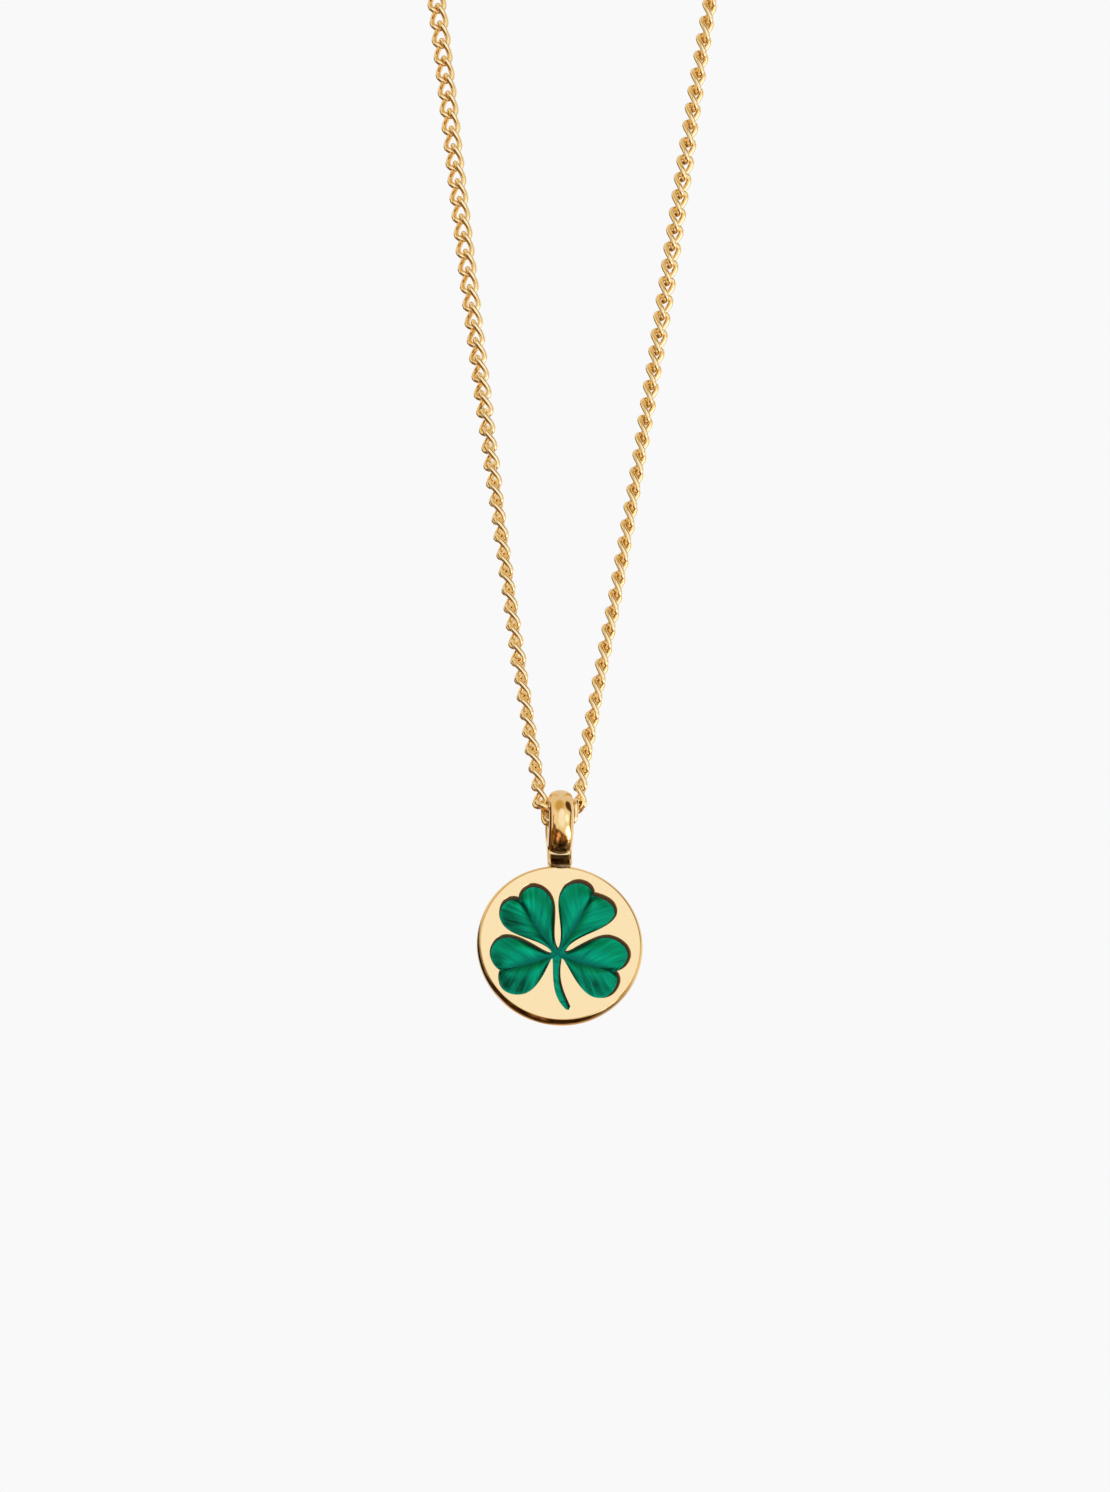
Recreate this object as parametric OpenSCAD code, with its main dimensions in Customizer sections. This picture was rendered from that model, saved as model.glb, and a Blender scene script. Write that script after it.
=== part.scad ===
/* [Disc] */
// Diameter of the round disc, mm
disc_d = 14; // [13.5:0.1:15]
// Thickness of the disc, mm
disc_t = 1.4; // [1.2:0.1:1.8]
// Radius of the disc's rounded edge in front, mm
disc_edge_r = 0.2; // [0.1:0.05:0.3]
// Radius of the disc's rounded edge at the back, mm
disc_back_r = 0.45; // [0.2:0.05:0.6]

/* [Clover] */
// Depth of the recess below the disc's face, mm
recess_depth = 0.5; // [0.4:0.05:0.6]
// Thickness of the enamel that fills the foot of the recess, mm
enamel_t = 0.2; // [0.1:0.05:0.3]
// How much wider the recess is at the face than at the enamel, at the end of a leaf, mm
wall_run = 0.3; // [0.1:0.05:0.35]
// Gap between the enamel's edge and the metal, mm
enamel_gap = 0.02; // [0.01:0.01:0.05]

/* [Bail] */
// Outer diameter of the bail at its crown, mm
bail_d = 5.66; // [5.4:0.02:6]
// Width of the bail along its hole, mm
bail_w = 2.1; // [2:0.05:2.3]
// Diameter of the hole that the chain runs through, mm
hole_d = 2.8; // [2.6:0.05:3]
// Distance from the middle of the bail to the middle of the disc, mm
bail_to_disc = 10.9; // [10.7:0.05:11.2]

/* [Chain] */
// Diameter of the tube that stands for the curb chain, mm
chain_d = 1.2; // [1:0.05:1.3]
// Diameter of that tube where it turns through the bail, mm
chain_turn_d = 1; // [0.9:0.05:1.05]

/* [Clasp] */
// Diameter of the clasp's barrel, mm
clasp_d = 2.8; // [2.4:0.1:3.4]
// Length of the barrel between its two eyes, mm
clasp_l = 8; // [7:0.5:8]

/* [Hidden] */

// The frame: the origin is where the clasp rests on the nape, +Z is up, the pendant hangs in front at -Y.
front_y = -72;
bail_z = -184;
disc_z = bail_z - bail_to_disc;
face_y = front_y - disc_t / 2;
floor_y = face_y + recess_depth;

// Clover: the point on the face where the leaves and the stem meet, from the middle of the disc
hub = [-0.25, -0.95];
curve_steps = 8;
arc_k = 0.55;
// Share of the wall's run at the leaves' feet, along their sides and in their notches
foot_share = 0.4;
side_share = 0.7;
notch_share = 0.8;
// Where one leaf's edge turns into the next one's, anticlockwise from the gap between stem and lower right leaf
crotches = [[0.05, -1.3], [0.35, -0.7], [-0.2, -0.55], [-0.7, -0.85], [-0.65, -1.35]];
// One row per leaf, anticlockwise from the lower right: the way it points in degrees, the distance from the
// hub to its notch, and its two lobes, first the one turned clockwise. Each lobe: [where it is widest,
// half-width there, where it reaches furthest, offset of that point from the midrib, how full its flank is].
LEAF_TURN = 0;
LEAF_NOTCH = 1;
LEAF_LOBES = 2;
leaves = [
    [-15.5, 5.0, [[4.0, 2.75, 5.5, 0.95, 0.9], [4.0, 2.78, 5.75, 1.5, 0.8]]],
    [60.4, 6.2, [[5.45, 2.4, 6.37, 1.2, 0], [5.1, 2.43, 6.67, 1.0, 0]]],
    [123.5, 5.75, [[4.75, 2.33, 6.25, 1.15, 0.2], [4.6, 2.42, 6.2, 1.0, 0.2]]],
    [-161.8, 5.05, [[3.95, 2.75, 5.43, 1.25, 0.7], [3.85, 2.5, 5.43, 1.2, 1]]],
];
// The stem's two edges and its round tip, as curves with four guide points each
stem_left = [[-0.65, -1.35], [-0.5, -2.6], [-0.85, -4.5], [0.35, -5.75]];
stem_tip = [[0.35, -5.75], [0.55, -5.95], [0.8, -5.95], [0.75, -5.6]];
stem_right = [[0.75, -5.6], [0.3, -4.5], [-0.4, -3.3], [0.05, -1.3]];
stem_wall = 0.09;

// Bail: radii of its crown, its outer corners and the rounded mouths of its hole
crown_r = 2.2;
corner_r = 0.3;
mouth_r = 0.5;
edge_steps = 6;
crown_steps = 16;
// Neck between bail and disc: its width, how far it runs up into the bail, half its depth there and at its
// waist, how far it stands before the face, and the round foot that it ends in on the face
neck_w = 2.06;
neck_rise = 2.1;
neck_top_half = 1.1;
waist_half = 0.66;
neck_stand = 0.12;
neck_foot_r = 1.6;
neck_overlap = 0.4;
foot_turn = asin(neck_w / 2 / neck_foot_r);

// Chain: the route of its middle line, from the clasp's one eye round to the other, as [x, y, z]
chain_sides = 8;
route = [
    [6.2, -0.4, 0], [12.8, -2.7, -0.2], [20, -7.8, -0.8], [26.2, -15.5, -2], [30.5, -25, -4],
    [32.9, -35.5, -7.2], [33.5, -46, -12], [32.6, -56, -19], [30.3, -64.5, -28.5], [27.2, -70, -41],
    [24, -72, -54], [20.7, -72, -68], [17.7, -72, -82], [14.8, -72, -98], [12.3, -72, -113],
    [10.3, -72, -127], [8.3, -72, -141], [6.1, -72, -155], [4.7, -72, -163.5], [3.6, -72, -169.5],
    [2.9, -72, -173.5], [2.4, -72, -176.3], [2.05, -72, -178.5], [1.8, -72, -180.2],
    [1.68, -72, -181.4], [1.65, -72, -182.1], [1.59, -72, -182.49], [1.43, -72, -182.85],
    [1.17, -72, -183.16], [0.83, -72, -183.4], [0.43, -72, -183.55],
    [0, -72, -183.6],
    [-0.43, -72, -183.55], [-0.83, -72, -183.4], [-1.17, -72, -183.16], [-1.43, -72, -182.85],
    [-1.59, -72, -182.49], [-1.65, -72, -182.1], [-1.7, -72, -181.4], [-1.86, -72, -180.2],
    [-2.15, -72, -178.5], [-2.5, -72, -176.3], [-2.9, -72, -173.5], [-3.5, -72, -169.5],
    [-4.3, -72, -163.5], [-5.4, -72, -155], [-7.1, -72, -141], [-8.7, -72, -127], [-10.2, -72, -113],
    [-12, -72, -98], [-14.6, -72, -82], [-17.7, -72, -68], [-21.4, -72, -54], [-25.5, -70, -41],
    [-29.5, -64.5, -28.5], [-32.4, -56, -19], [-33.5, -46, -12], [-32.9, -35.5, -7.2], [-30.5, -25, -4],
    [-26.2, -15.5, -2], [-20, -7.8, -0.8], [-12.8, -2.7, -0.2], [-6.2, -0.4, 0],
];
// Height above the bail's middle up to which the tube keeps its smaller diameter
turn_reach = 3.5;
turn_blend = 6;

// Clasp: wire and inner radius of its eyes
eye_wire = 0.7;
eye_r = 0.6;

gold = [0.86, 0.66, 0.33];
green = [0.02, 0.55, 0.4];

function bezier(p, t) =
    pow(1 - t, 3) * p[0] + 3 * t * pow(1 - t, 2) * p[1] + 3 * t * t * (1 - t) * p[2] + pow(t, 3) * p[3];
function curve(p, steps) = [for (i = [0:steps - 1]) bezier(p, i / steps)];
function turned(p, a) = [p[0] * cos(a) - p[1] * sin(a), p[0] * sin(a) + p[1] * cos(a)];
function unit(v) = v / norm(v);
function arc(c, r, a, b, steps) = [for (i = [0:steps]) let (t = a + (b - a) * i / steps) c + r * [cos(t), sin(t)]];

// The gap between two leaves, moved out from the hub where the wall widens the recess
function crotch(i, wall) = let (c = crotches[i % 5]) c + wall * foot_share * unit(c - hub);

// One side of a leaf from its foot to its notch; side is -1 clockwise of the midrib and 1 anticlockwise of it.
// wall widens it for the recess's edge at the face.
function leaf_side(leaf, side, foot, wall) =
    let (
        lobe = leaf[LEAF_LOBES][side < 0 ? 0 : 1],
        notch_u = leaf[LEAF_NOTCH] + wall * notch_share,
        wide_u = lobe[0],
        wide_v = lobe[1] + wall * side_share,
        reach_u = lobe[2] + wall,
        reach_v = lobe[3],
        full = lobe[4],
        foot_v = 0.2 + wall * foot_share,
        at = function (u, v) hub + turned([u, side * v], leaf[LEAF_TURN]),
        flank = [foot, at((0.4 - 0.2 * full) * wide_u, foot_v), at((0.7 - 0.1 * full) * wide_u, wide_v),
                 at(wide_u, wide_v)],
        shoulder = [at(wide_u, wide_v), at(wide_u + arc_k * (reach_u - wide_u), wide_v),
                    at(reach_u, reach_v + arc_k * (wide_v - reach_v)), at(reach_u, reach_v)],
        lip = [at(reach_u, reach_v), at(reach_u, 0.45 * reach_v),
               at(notch_u + 0.4 * (reach_u - notch_u), 0.12 * reach_v), at(notch_u, 0)]
    )
    concat(curve(flank, curve_steps), curve(shoulder, curve_steps), curve(lip, curve_steps));

// A whole leaf's edge, anticlockwise from one gap to the next, without the second gap's point
function leaf_edge(i, wall) =
    let (
        leaf = leaves[i],
        there = leaf_side(leaf, -1, crotch(i, wall), wall),
        back = leaf_side(leaf, 1, crotch(i + 1, wall), wall),
        notch = hub + turned([leaf[LEAF_NOTCH] + wall * notch_share, 0], leaf[LEAF_TURN])
    )
    concat(there, [notch], [for (k = [len(back) - 1:-1:1]) back[k]]);

function shifted(p, step) = [for (q = p) q + step];
function stem_edge(wall) =
    let (w = wall > 0 ? stem_wall : wall)
    concat(
        [crotch(4, wall)],
        [for (k = [1:curve_steps - 1]) bezier(shifted(stem_left, [-w, 0]), k / curve_steps)],
        curve(shifted(stem_tip, [0, -w]), 4),
        curve(shifted(stem_right, [w, 0]), curve_steps)
    );

// The whole clover's outline on the face: four leaves and the stem round one hub
function clover_outline(wall) = concat([for (i = [0:3]) each leaf_edge(i, wall)], stem_edge(wall));

// Puts a shape drawn on the face, x to the right and y up, with its foot at the depth y
module on_face(y) {
    translate([0, y, disc_z]) rotate([90, 0, 0]) children();
}

// The recess: its floor's outline, and a wider one on the same slope a little past the face
module clover_recess() {
    past = 0.1;
    low = clover_outline(0);
    high = clover_outline(wall_run * (recess_depth + past) / recess_depth);
    n = len(low);
    points = [
        for (p = low) [p[0], floor_y, p[1] + disc_z],
        for (p = high) [p[0], face_y - past, p[1] + disc_z],
    ];
    faces = concat(
        [[for (i = [0:n - 1]) i]],
        [for (i = [0:n - 1]) [i, n + (i + 1) % n, (i + 1) % n]],
        [for (i = [0:n - 1]) [i, n + i, n + (i + 1) % n]],
        [[for (i = [n - 1:-1:0]) n + i]]
    );
    polyhedron(points, faces);
}

// The disc: a flat coin whose two edges are rounded
module disc_body() {
    r = disc_d / 2;
    h = disc_t / 2;
    e = disc_edge_r;
    b = disc_back_r;
    section = concat(
        [[0, -h]],
        arc([r - b, b - h], b, -90, 0, edge_steps),
        arc([r - e, h - e], e, 0, 90, edge_steps),
        [[0, h]]
    );
    translate([0, front_y, disc_z]) rotate([90, 0, 0]) rotate_extrude($fn = 180) polygon(section);
}

// The bail's section, radius across and the hole's axis up: domed outside, flat inside with rounded mouths
module bail_section() {
    half = bail_w / 2;
    hole = hole_d / 2;
    crown_c = bail_d / 2 - crown_r;
    corner_x = half - corner_r;
    corner_c = crown_c + sqrt(pow(crown_r - corner_r, 2) - pow(corner_x, 2));
    dome = asin(corner_x / (crown_r - corner_r));
    mouth_c = hole + mouth_r;
    mouth_x = half - mouth_r;
    polygon(concat(
        arc([mouth_c, -mouth_x], mouth_r, 180, 270, edge_steps),
        arc([corner_c, -corner_x], corner_r, -90, -dome, edge_steps),
        arc([crown_c, 0], crown_r, -dome + 2, dome - 2, crown_steps),
        arc([corner_c, corner_x], corner_r, dome, 90, edge_steps),
        arc([mouth_c, mouth_x], mouth_r, 90, 180, edge_steps)
    ));
}

module bail_ring() {
    translate([0, front_y, bail_z]) rotate([0, 90, 0]) rotate_extrude($fn = 120) bail_section();
}

// The solid neck between bail and disc, waisted front and back, with a round foot laid on the face
module bail_neck() {
    disc_top = disc_z + disc_d / 2;
    foot = disc_top - neck_overlap;
    top = bail_z - neck_rise;
    depth = disc_t / 2 + neck_stand;
    side = [
        [-depth, foot - 1], [depth, foot - 1], [depth, disc_top],
        [waist_half, disc_top + 0.45], [waist_half, disc_top + 0.75], [neck_top_half, top],
        [-neck_top_half, top], [-waist_half, disc_top + 0.75], [-waist_half, disc_top + 0.45], [-depth, disc_top],
    ];
    front = concat(
        [[neck_w / 2, top + 1], [-neck_w / 2, top + 1]],
        arc([0, foot + neck_foot_r], neck_foot_r, 270 - foot_turn, 270 + foot_turn, crown_steps)
    );
    intersection() {
        translate([-neck_w, front_y, 0]) rotate([90, 0, 90]) linear_extrude(2 * neck_w) polygon(side);
        translate([0, front_y + 2, 0]) rotate([90, 0, 0]) linear_extrude(4) polygon(front);
    }
}

// Disc, neck and bail, soldered into one solid, with the clover cut into the front
module medallion() {
    color(gold) difference() {
        union() {
            disc_body();
            bail_ring();
            bail_neck();
        }
        clover_recess();
    }
}

module clover_enamel() {
    color(green) on_face(floor_y) linear_extrude(enamel_t) polygon(clover_outline(-enamel_gap));
}

// Ways along the route and across it, carried from each point to the next without twist
function way(i) =
    let (last = len(route) - 1)
    unit(route[min(i + 1, last)] - route[max(i - 1, 0)]);
function carried(v, t) = unit(v - (v * t) * t);
across = [for (i = 0, v = carried([0, 0, 1], way(0)); i < len(route);
    i = i + 1, v = carried(v, way(min(i, len(route) - 1)))) v];

function tube_r(i) =
    let (
        over = (route[i][2] - bail_z - turn_reach) / turn_blend,
        share = min(max(over, 0), 1)
    )
    (chain_turn_d + (chain_d - chain_turn_d) * share) / 2;

// The tube that stands for the chain, swept along the route
module chain() {
    n = len(route);
    s = chain_sides;
    points = [
        for (i = [0:n - 1])
            let (a = across[i], b = cross(way(i), a))
            for (k = [0:s - 1])
                route[i] + tube_r(i) * (a * cos(360 * (k + 0.5) / s) + b * sin(360 * (k + 0.5) / s))
    ];
    faces = concat(
        [[for (k = [0:s - 1]) k]],
        [for (i = [0:n - 2]) for (k = [0:s - 1]) [i * s + k, i * s + s + k, i * s + (k + 1) % s]],
        [for (i = [0:n - 2]) for (k = [0:s - 1]) [i * s + (k + 1) % s, i * s + s + k, i * s + s + (k + 1) % s]],
        [[for (k = [s - 1:-1:0]) (n - 1) * s + k]]
    );
    color(gold) polyhedron(points, faces);
}

// A plain barrel with an eye at each end, lying along X at the nape
module clasp() {
    half = clasp_l / 2;
    r = clasp_d / 2;
    end_r = 0.8;
    eye_x = half + eye_r;
    color(gold) {
        rotate([0, 90, 0]) rotate_extrude($fn = 64) polygon(concat(
            [[0, -half]],
            arc([r - end_r, end_r - half], end_r, -90, 0, edge_steps),
            arc([r - end_r, half - end_r], end_r, 0, 90, edge_steps),
            [[0, half]]
        ));
        for (side = [-1, 1])
            translate([side * eye_x, 0, 0]) rotate_extrude($fn = 48)
                translate([eye_r + eye_wire / 2, 0]) circle(d = eye_wire, $fn = 24);
    }
}

medallion();
clover_enamel();
chain();
clasp();
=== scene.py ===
"""A clover necklace: curb chain, ring bail and round disc with an enamelled clover, in a pale studio."""

import math
import random

import bmesh
import bpy
import numpy as np
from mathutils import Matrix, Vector
from mathutils.geometry import delaunay_2d_cdt


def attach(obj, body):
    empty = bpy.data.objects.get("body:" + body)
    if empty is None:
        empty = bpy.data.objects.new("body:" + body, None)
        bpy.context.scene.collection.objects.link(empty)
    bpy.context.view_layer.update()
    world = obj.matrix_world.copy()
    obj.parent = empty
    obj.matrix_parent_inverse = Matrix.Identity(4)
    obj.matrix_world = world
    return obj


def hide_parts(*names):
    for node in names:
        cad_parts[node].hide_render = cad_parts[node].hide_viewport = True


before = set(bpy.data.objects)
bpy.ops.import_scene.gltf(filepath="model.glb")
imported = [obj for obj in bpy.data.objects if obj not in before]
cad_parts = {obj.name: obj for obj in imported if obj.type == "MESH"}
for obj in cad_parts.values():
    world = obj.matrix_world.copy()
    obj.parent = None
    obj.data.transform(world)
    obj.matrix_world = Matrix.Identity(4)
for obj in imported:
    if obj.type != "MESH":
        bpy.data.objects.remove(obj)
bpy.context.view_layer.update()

# Lengths below are in millimetres, in the frame of the CAD model, unless a name says otherwise
MM = 0.001
SEED = 11
# The least length to divide by, and how near two points count as one
TINY = 1e-9
CLOSE = 1e-7

# Places and sizes shared by the pieces
FRONT_Y = -72.0
BAIL_Z = -184.0
DISC_Z = BAIL_Z - 10.9
DISC_R = 7.0
DISC_T = 1.4
FACE_Y = FRONT_Y - DISC_T / 2
RECESS_DEPTH = 0.5


# Small tools

def smoothstep(low, high, value):
    """0 below low, 1 above high, and a smooth climb between."""
    t = np.clip((value - low) / (high - low), 0.0, 1.0)
    return t * t * (3 - 2 * t)


def unit(vector):
    return vector / np.linalg.norm(vector)


def around_circle(count):
    """Even angles round a circle, in radians."""
    return np.arange(count) * 2 * math.pi / count


def grid_faces(rows, columns, close_rows=False, close_columns=False):
    """Quads over a grid of points numbered row by row."""
    faces = []
    for i in range(rows if close_rows else rows - 1):
        for j in range(columns if close_columns else columns - 1):
            right = (j + 1) % columns
            row, below = i * columns, (i + 1) % rows * columns
            faces.append((row + j, row + right, below + right, below + j))
    return faces


def plain_mesh(name, points, faces):
    """A mesh from points in millimetres."""
    mesh = bpy.data.meshes.new(name)
    mesh.from_pydata([tuple(p) for p in np.asarray(points) * MM], [], [tuple(f) for f in faces])
    return mesh


def built_mesh(name, build):
    """A mesh from a bmesh, which is used up."""
    mesh = bpy.data.meshes.new(name)
    build.to_mesh(mesh)
    build.free()
    return mesh


def point_values(mesh, name, values):
    """Keeps a value at each point of a mesh, for its material to read by name."""
    mesh.attributes.new(name, "FLOAT", "POINT").data.foreach_set("value", values)


def linked_object(data):
    """An object in the scene, named as its mesh or camera."""
    made = bpy.data.objects.new(data.name, data)
    bpy.context.scene.collection.objects.link(made)
    return made


def make_piece(mesh, body, material, sharp_angle):
    """A piece of the necklace from a mesh, which rides on a body."""
    piece = linked_object(mesh)
    mesh.materials.append(material)
    mesh.shade_smooth()
    mesh.set_sharp_from_angle(angle=math.radians(sharp_angle))
    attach(piece, body)
    return piece


# Small tools for shader nodes, most of which work in the tree of the socket that they're given

def fill_in(shader_node, inputs):
    """Sets inputs, each named by its label or number, to a value or to the socket that feeds it."""
    for key, value in inputs.items():
        if isinstance(value, bpy.types.NodeSocket):
            shader_node.id_data.links.new(value, shader_node.inputs[key])
        else:
            shader_node.inputs[key].default_value = value


def node(tree, kind, inputs=None, **settings):
    """Adds a node to a tree."""
    made = tree.nodes.new(kind)
    for key, value in settings.items():
        setattr(made, key, value)
    fill_in(made, inputs or {})
    return made


def ramp(value, stops):
    """A smooth colour ramp whose stops are (place, (red, green, blue))."""
    made = node(value.id_data, "ShaderNodeValToRGB", {"Fac": value})
    bands = made.color_ramp
    bands.interpolation = "EASE"
    while len(bands.elements) < len(stops):
        bands.elements.new(0.5)
    for element, (place, colour) in zip(bands.elements, stops):
        element.position = place
        element.color = (*colour, 1)
    return made.outputs["Color"]


def climb(value, low, high, start=0.0, end=1.0):
    """A smooth climb from start, where the value is low, to end, where it is high."""
    limits = {"Value": value, "From Min": low, "From Max": high, "To Min": start, "To Max": end}
    made = node(value.id_data, "ShaderNodeMapRange", limits, interpolation_type="SMOOTHSTEP")
    return made.outputs["Result"]


def times(a, b):
    return node(a.id_data, "ShaderNodeMath", {0: a, 1: b}, operation="MULTIPLY").outputs[0]


def plus(a, b):
    return node(a.id_data, "ShaderNodeMath", {0: a, 1: b}, operation="ADD").outputs[0]


def blend(share, a, b):
    """A mix of two colours, each (red, green, blue) or a socket; share is how much of b."""
    a, b = [c if isinstance(c, bpy.types.NodeSocket) else (*c, 1) for c in (a, b)]
    return node(share.id_data, "ShaderNodeMix", {0: share, 6: a, 7: b}, data_type="RGBA").outputs[2]


def noise(place, scale, detail, roughness=0.5):
    inputs = {"Vector": place, "Scale": scale, "Detail": detail, "Roughness": roughness}
    return node(place.id_data, "ShaderNodeTexNoise", inputs).outputs[0]


def point_value(tree, name):
    return node(tree, "ShaderNodeAttribute", attribute_name=name).outputs["Fac"]


def raise_marks(shader, height, height_mm):
    bump = node(height.id_data, "ShaderNodeBump", {"Height": height, "Distance": height_mm * MM})
    fill_in(shader, {"Normal": bump.outputs["Normal"]})


# Materials

# Each gold: its colour and deeper tone, roughness, how much duller its hazy marks are, the bump's height,
# and how fine its marks and how close its waves are
MEDALLION_GOLD = ((0.965, 0.765, 0.455), (0.955, 0.73, 0.41), 0.10, 0.04, 0.0012, 9000, 700)
CHAIN_GOLD = ((1.0, 0.87, 0.60), (0.99, 0.82, 0.51), 0.10, 0.10, 0.002, 14000, 1500)
# The wheel's marks: their stretch and turn, their height against the waves', and the noise that is hazy
MARKS_STRETCH = (0.25, 1.0, 1.6)
MARKS_TURN = (0.2, 0.5, 0.1)
MARKS_HEIGHT = 0.12
HAZY_NOISE = (0.45, 0.8)
# The painted shade on the links' inner sides: its colour, and how far in it sets in, from 0 outside to 1
# inside
CHAIN_INNER_SHADE = (0.99, 0.76, 0.38)
INNER_SHADE_FROM = 0.45
# The recess's walls, where shade is painted dark brown: their colour, how rough and how metallic they are,
# and how far down the painted shade turns them brown
WALL_SHADE = (0.22, 0.10, 0.07)
WALL_SHADE_ROUGHNESS = 0.42
WALL_SHADE_METAL = 0.3
WALL_SHADE_FROM = (0.3, 0.8)
# The painted dark reflection on neck, foot and edge: its colour and fineness, and its cover where its noise
# is low and high
PAINTED_DARK = (0.075, 0.04, 0.014)
PAINTED_DARK_FINENESS = 1500.0
PAINTED_DARK_NOISE = (0.35, 0.65)
PAINTED_DARK_COVER = (0.97, 0.8)
# The enamel: its greens by the noise of its streaks, teal along the midrib, and painted shade on the lobes'
# lower-left sides
ENAMEL_GREENS = [(0.32, (0.0, 0.17, 0.12)), (0.5, (0.0, 0.33, 0.20)), (0.66, (0.0, 0.50, 0.29))]
ENAMEL_TEAL = (0.0, 0.13, 0.115)
ENAMEL_SHADE = (0.0, 0.04, 0.02)
# How far from the midrib the teal gives way to green, and the noise where the painted shade thins to half
TEAL_REACH = (-0.25, 0.95)
DARK_NOISE = (0.4, 0.62)
ENAMEL_METAL = 0.92
ENAMEL_ROUGHNESS = 0.36
# The streaks: their stretch along the veins, the fine and the broad ones' scales and shares, their height
STREAK_STRETCH = (1.0, 0.12, 1.0)
FINE_SCALE, BROAD_SCALE = 3.2, 1.1
FINE_SHARE, BROAD_SHARE = 0.6, 0.4
STREAK_HEIGHT = 0.02
PAPER = (0.85, 0.85, 0.85)


def new_material(name):
    material = bpy.data.materials.new(name)
    material.use_nodes = True
    return material, material.node_tree, material.node_tree.nodes["Principled BSDF"]


def polish_group():
    """Fine marks of the polishing wheel, and the soft waviness under them."""
    group = bpy.data.node_groups.new("polish_marks", "ShaderNodeTree")
    sockets = {"Fineness": "INPUT", "Waviness": "INPUT", "Height": "OUTPUT", "Haze": "OUTPUT"}
    for name, side in sockets.items():
        group.interface.new_socket(name, in_out=side, socket_type="NodeSocketFloat")
    given = node(group, "NodeGroupInput").outputs
    place = node(group, "ShaderNodeTexCoord").outputs["Object"]
    shape = {"Vector": place, "Scale": MARKS_STRETCH, "Rotation": MARKS_TURN}
    stretched = node(group, "ShaderNodeMapping", shape).outputs[0]
    marks = noise(stretched, given["Fineness"], 3.0, 0.7)
    waves = noise(place, given["Waviness"], 1.0)
    height = plus(times(marks, MARKS_HEIGHT), waves)
    node(group, "NodeGroupOutput", {"Height": height, "Haze": climb(marks, *HAZY_NOISE)})
    return group


def gold_material(name, colour, deep_colour, roughness, haze, bump_mm, fineness, waviness):
    """Polished gold plate: two close tones, faint wheel marks and a slightly wavy surface."""
    material, tree, shader = new_material(name)
    marks = node(tree, "ShaderNodeGroup", {"Fineness": fineness, "Waviness": waviness}, node_tree=POLISH)
    tone = blend(marks.outputs["Haze"], colour, deep_colour)
    dull = climb(marks.outputs["Haze"], 0.0, 1.0, roughness, roughness + haze)
    fill_in(shader, {"Base Color": tone, "Metallic": 1.0, "Roughness": dull})
    raise_marks(shader, marks.outputs["Height"], bump_mm)
    return material, tree, shader, tone, dull


def chain_material():
    """The chain's gold, with shade painted on the links' inner sides, which turns them deeper and redder."""
    material, tree, shader, bare_gold, _ = gold_material("chain_gold", *CHAIN_GOLD)
    share = climb(point_value(tree, "inner"), INNER_SHADE_FROM, 1.0)
    fill_in(shader, {"Base Color": blend(share, bare_gold, CHAIN_INNER_SHADE)})
    return material


def medallion_material():
    """The polished gold, with shade painted brown and dull on the recess's walls, and painted dark
    reflections on neck, foot and edge.
    """
    material, tree, shader, bare_gold, polished = gold_material("medallion_gold", *MEDALLION_GOLD)
    place = node(tree, "ShaderNodeTexCoord").outputs["Object"]
    # painted dark reflections on neck, foot and edge, mottled by noise
    cover = climb(noise(place, PAINTED_DARK_FINENESS, 2.0), *PAINTED_DARK_NOISE, *PAINTED_DARK_COVER)
    darkened = blend(times(point_value(tree, "painted_dark"), cover), bare_gold, PAINTED_DARK)
    # painted shade on the recess's walls: browner, duller and less metallic further down
    wall = point_value(tree, "wall_shade")
    share = climb(wall, *WALL_SHADE_FROM)
    dull = node(tree, "ShaderNodeMix", {0: share, 2: polished, 3: WALL_SHADE_ROUGHNESS}).outputs[0]
    metal = climb(wall, *WALL_SHADE_FROM, 1.0, WALL_SHADE_METAL)
    fill_in(shader, {"Base Color": blend(share, darkened, WALL_SHADE), "Metallic": metal, "Roughness": dull})
    return material


def enamel_material():
    """Green enamel over engraved metal: streaks that follow the leaf's veins, teal along the midrib, painted
    shade lower left.
    """
    material, tree, shader = new_material("green_enamel")
    vein = node(tree, "ShaderNodeUVMap", uv_map="veins").outputs["UV"]
    off_midrib = node(tree, "ShaderNodeSeparateXYZ", {0: vein}).outputs["Y"]
    stretched = node(tree, "ShaderNodeMapping", {"Vector": vein, "Scale": STREAK_STRETCH}).outputs[0]
    fine = noise(stretched, FINE_SCALE, 3.0)
    broad = noise(stretched, BROAD_SCALE, 1.0)
    streaks = plus(times(fine, FINE_SHARE), times(broad, BROAD_SHARE))
    green = ramp(streaks, ENAMEL_GREENS)
    toned = blend(climb(off_midrib, *TEAL_REACH), ENAMEL_TEAL, green)
    # painted shade on the lobes' lower-left sides, thinned where the streaks are bright
    dark = times(point_value(tree, "shade"), climb(streaks, *DARK_NOISE, 1.0, 0.5))
    colour = blend(dark, toned, ENAMEL_SHADE)
    fill_in(shader, {"Base Color": colour, "Metallic": ENAMEL_METAL, "Roughness": ENAMEL_ROUGHNESS})
    raise_marks(shader, fine, STREAK_HEIGHT)
    return material


# Curb chain

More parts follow.
